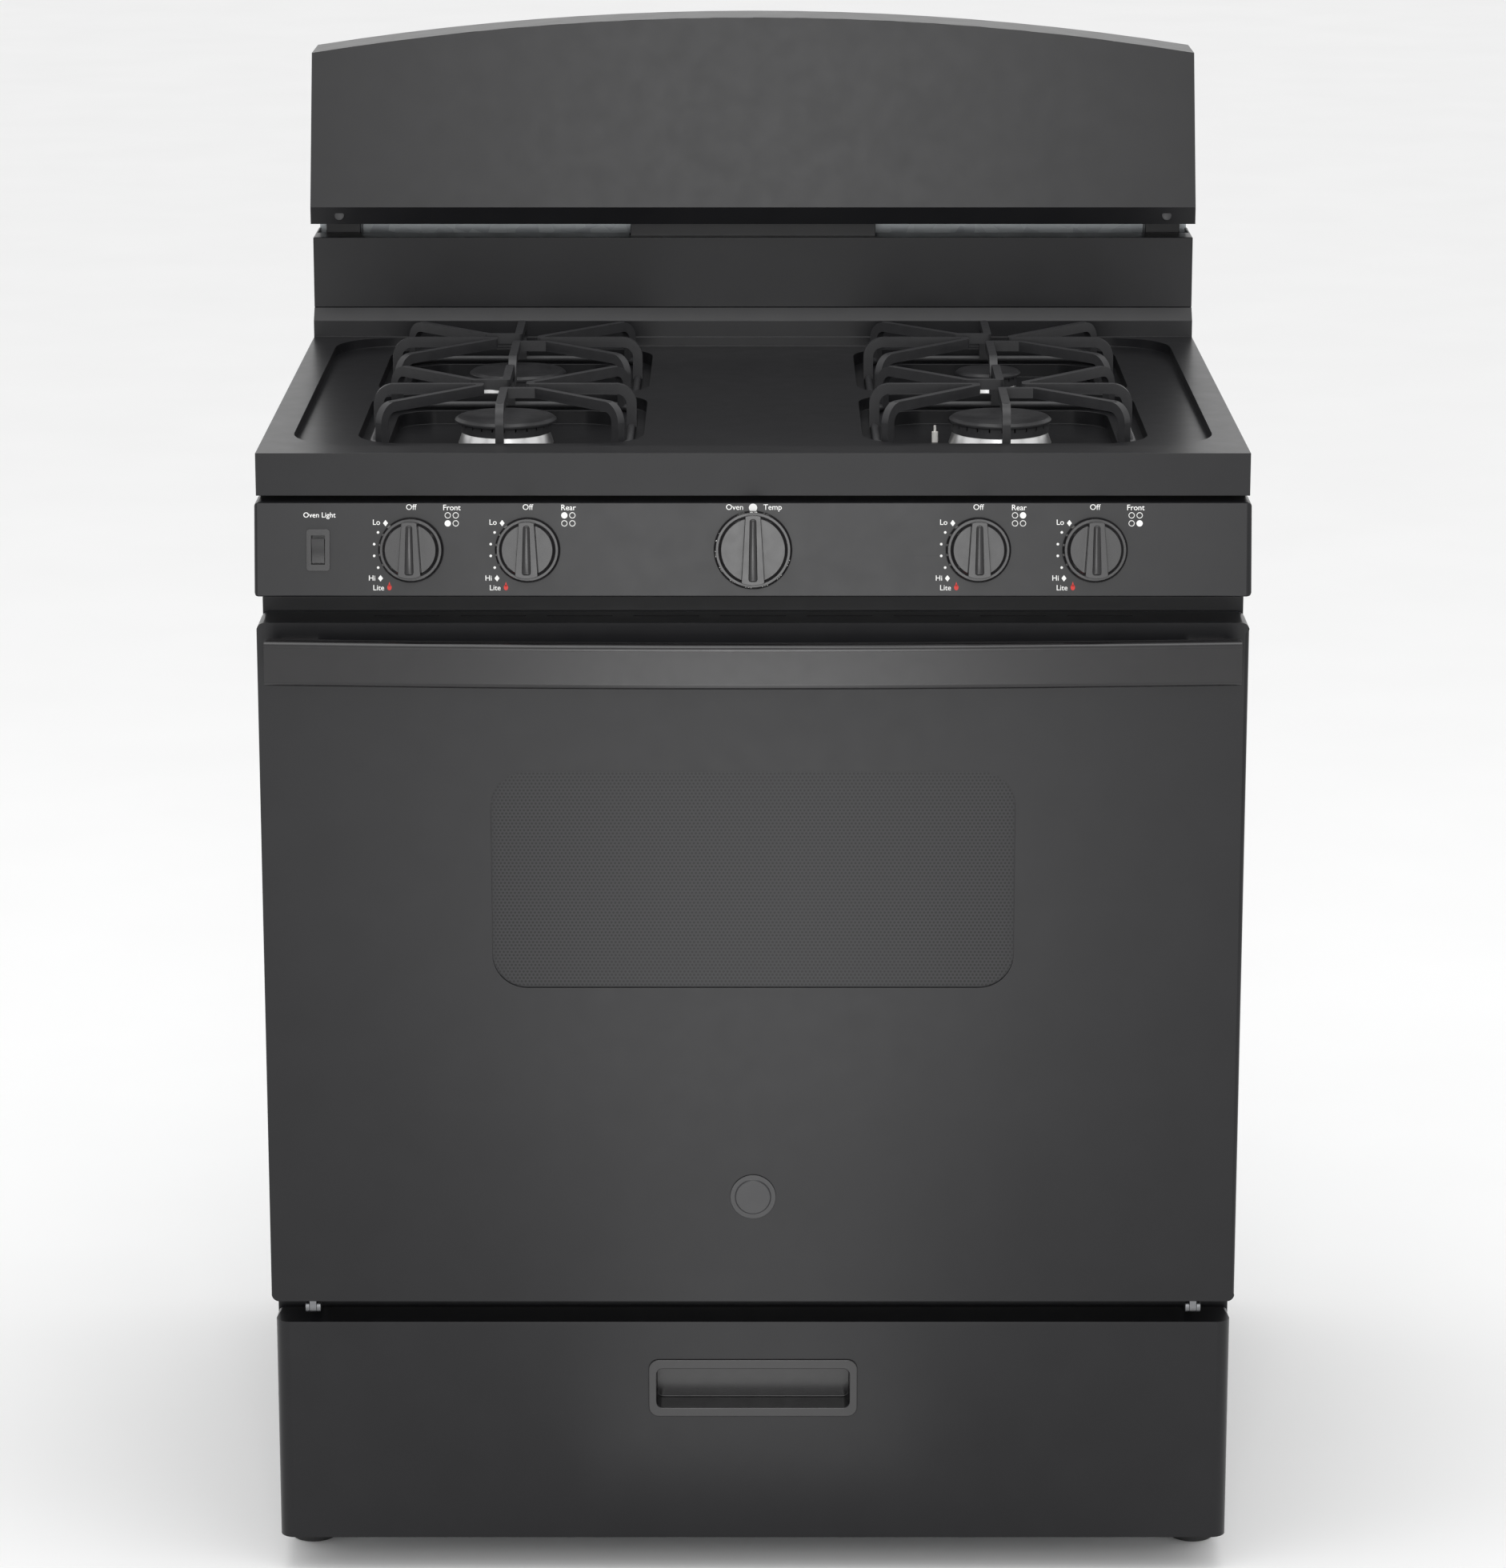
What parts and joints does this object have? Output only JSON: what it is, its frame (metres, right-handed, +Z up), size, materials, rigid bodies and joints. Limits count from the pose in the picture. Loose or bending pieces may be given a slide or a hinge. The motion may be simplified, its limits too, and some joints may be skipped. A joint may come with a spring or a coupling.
{
  "type": "freestanding gas range",
  "caption": "Freestanding gas range with open burners and grates on a pressed cooktop, knobs on a leaning panel, a windowed oven door with a bowed handle, a drawer and an arched backguard.",
  "frame": {"origin": "on the floor, under the middle of the range's box", "axes": "+Z up, front faces -Y, +X to the right as seen from the front"},
  "size_m": [0.762, 0.712, 1.178],
  "materials": {
    "black_enamel": "gloss",
    "galvanised": "satin",
    "grey_enamel": "gloss, speckled",
    "fibre": "matte",
    "bare_steel": "satin",
    "glass_bulb": "clear",
    "cast_aluminium": "satin",
    "matte_enamel": "matte",
    "ceramic": "glazed",
    "brass": "satin",
    "black_plastic": "gloss",
    "white_plastic": "matte",
    "window_glass": "tinted",
    "clear_glass": "clear",
    "gasket": "woven",
    "chrome_wire": "bright",
    "badge": "satin",
    "foot": "matte"
  },
  "bodies": {
    "root": {"side_panels": "black_enamel", "rear_panel": "galvanised", "base_frame": "galvanised", "front_frame": "black_enamel", "oven_liner": "grey_enamel", "oven_insulation": "fibre", "oven_floor_panel": "grey_enamel", "oven_burner": "bare_steel", "oven_lamp": "glass_bulb", "oven_flue": "bare_steel", "cooktop": "black_enamel", "burner_bases": "cast_aluminium", "burner_heads": "matte_enamel", "spark_electrodes": "ceramic", "burner_tubes": "cast_aluminium", "gas_manifold": "bare_steel", "gas_valves": "brass", "oven_thermostat": "bare_steel", "gas_regulator": "bare_steel", "spark_module": "white_plastic", "control_panel": "black_enamel", "switch_bezel": "black_plastic", "backguard_front": "black_enamel", "backguard_shell": "black_enamel", "lower_back_panel": "black_enamel", "hinge_receivers": "bare_steel", "drawer_rails": "galvanised", "levelling_legs": "foot"},
    "door": {"door_outer_panel": "black_enamel", "door_window_glass": "window_glass", "door_inner_panel": "grey_enamel", "door_inner_glass": "clear_glass", "door_gasket": "gasket", "door_handle": "black_plastic", "door_hinge_arms": "bare_steel", "door_badge": "badge"},
    "drawer": {"drawer_front": "black_enamel", "drawer_pull": "black_plastic", "drawer_box": "galvanised"},
    "rocker": {"oven_light_rocker": "black_plastic"},
    "stem_left_front": {"stem_left_front": "bare_steel"},
    "knob_left_front": {"knob_left_front": "black_plastic"},
    "stem_left_rear": {"stem_left_rear": "bare_steel"},
    "knob_left_rear": {"knob_left_rear": "black_plastic"},
    "stem_right_rear": {"stem_right_rear": "bare_steel"},
    "knob_right_rear": {"knob_right_rear": "black_plastic"},
    "stem_right_front": {"stem_right_front": "bare_steel"},
    "knob_right_front": {"knob_right_front": "black_plastic"},
    "stem_oven": {"stem_oven": "bare_steel"},
    "knob_oven": {"knob_oven": "black_plastic"},
    "grate_left_front": {"grate_left_front": "matte_enamel"},
    "cap_left_front": {"cap_left_front": "matte_enamel"},
    "grate_left_rear": {"grate_left_rear": "matte_enamel"},
    "cap_left_rear": {"cap_left_rear": "matte_enamel"},
    "grate_right_rear": {"grate_right_rear": "matte_enamel"},
    "cap_right_rear": {"cap_right_rear": "matte_enamel"},
    "grate_right_front": {"grate_right_front": "matte_enamel"},
    "cap_right_front": {"cap_right_front": "matte_enamel"},
    "rack_lower": {"oven_rack_lower": "chrome_wire"},
    "rack_upper": {"oven_rack_upper": "chrome_wire"}
  },
  "joints": [
    {"name": "door_hinge", "type": "hinge", "parent": "root", "child": "door", "pos_m": [0, -0.296, 0.222], "axis": [1, 0, 0], "range_deg": [0, 90], "stiffness_Nm_per_rad": 10},
    {"name": "drawer_slide", "type": "slide", "parent": "root", "child": "drawer", "axis": [0, -1, 0], "range_m": [0, 0.36]},
    {"name": "light_rocker", "type": "hinge", "parent": "root", "child": "rocker", "pos_m": [-0.332, -0.29753, 0.83214], "axis": [1, 0, 0], "range_deg": [-16, 0]},
    {"name": "push_left_front", "type": "slide", "parent": "root", "child": "stem_left_front", "axis": [0, 0.9836, -0.1801], "range_m": [0, 0.003], "stiffness_N_per_m": 500},
    {"name": "turn_left_front", "type": "hinge", "parent": "stem_left_front", "child": "knob_left_front", "pos_m": [-0.261, -0.2995, 0.8325], "axis": [0, -0.9836, 0.1801], "range_deg": [0, 145]},
    {"name": "push_left_rear", "type": "slide", "parent": "root", "child": "stem_left_rear", "axis": [0, 0.9836, -0.1801], "range_m": [0, 0.003], "stiffness_N_per_m": 500},
    {"name": "turn_left_rear", "type": "hinge", "parent": "stem_left_rear", "child": "knob_left_rear", "pos_m": [-0.172, -0.2995, 0.8325], "axis": [0, -0.9836, 0.1801], "range_deg": [0, 145]},
    {"name": "push_right_rear", "type": "slide", "parent": "root", "child": "stem_right_rear", "axis": [0, 0.9836, -0.1801], "range_m": [0, 0.003], "stiffness_N_per_m": 500},
    {"name": "turn_right_rear", "type": "hinge", "parent": "stem_right_rear", "child": "knob_right_rear", "pos_m": [0.172, -0.2995, 0.8325], "axis": [0, -0.9836, 0.1801], "range_deg": [0, 145]},
    {"name": "push_right_front", "type": "slide", "parent": "root", "child": "stem_right_front", "axis": [0, 0.9836, -0.1801], "range_m": [0, 0.003], "stiffness_N_per_m": 500},
    {"name": "turn_right_front", "type": "hinge", "parent": "stem_right_front", "child": "knob_right_front", "pos_m": [0.261, -0.2995, 0.8325], "axis": [0, -0.9836, 0.1801], "range_deg": [0, 145]},
    {"name": "push_oven", "type": "slide", "parent": "root", "child": "stem_oven", "axis": [0, 0.9836, -0.1801], "range_m": [0, 0.003], "stiffness_N_per_m": 500},
    {"name": "turn_oven", "type": "hinge", "parent": "stem_oven", "child": "knob_oven", "pos_m": [0, -0.2995, 0.8325], "axis": [0, -0.9836, 0.1801], "range_deg": [0, 270]},
    {"name": "lift_grate_left_front", "type": "slide", "parent": "root", "child": "grate_left_front", "axis": [0, 0, 1], "range_m": [0, 0.12]},
    {"name": "lift_cap_left_front", "type": "slide", "parent": "root", "child": "cap_left_front", "axis": [0, 0, 1], "range_m": [0, 0.009]},
    {"name": "lift_grate_left_rear", "type": "slide", "parent": "root", "child": "grate_left_rear", "axis": [0, 0, 1], "range_m": [0, 0.12]},
    {"name": "lift_cap_left_rear", "type": "slide", "parent": "root", "child": "cap_left_rear", "axis": [0, 0, 1], "range_m": [0, 0.009]},
    {"name": "lift_grate_right_rear", "type": "slide", "parent": "root", "child": "grate_right_rear", "axis": [0, 0, 1], "range_m": [0, 0.12]},
    {"name": "lift_cap_right_rear", "type": "slide", "parent": "root", "child": "cap_right_rear", "axis": [0, 0, 1], "range_m": [0, 0.009]},
    {"name": "lift_grate_right_front", "type": "slide", "parent": "root", "child": "grate_right_front", "axis": [0, 0, 1], "range_m": [0, 0.12]},
    {"name": "lift_cap_right_front", "type": "slide", "parent": "root", "child": "cap_right_front", "axis": [0, 0, 1], "range_m": [0, 0.009]},
    {"name": "slide_rack_lower", "type": "slide", "parent": "root", "child": "rack_lower", "axis": [0, -1, 0], "range_m": [0, 0.26]},
    {"name": "slide_rack_upper", "type": "slide", "parent": "root", "child": "rack_upper", "axis": [0, -1, 0], "range_m": [0, 0.26]}
  ],
  "couplings": [
    {"joint": "slide_rack_lower", "follows": "door_hinge", "m_per_rad": 0.16},
    {"joint": "slide_rack_upper", "follows": "door_hinge", "m_per_rad": 0.16}
  ]
}
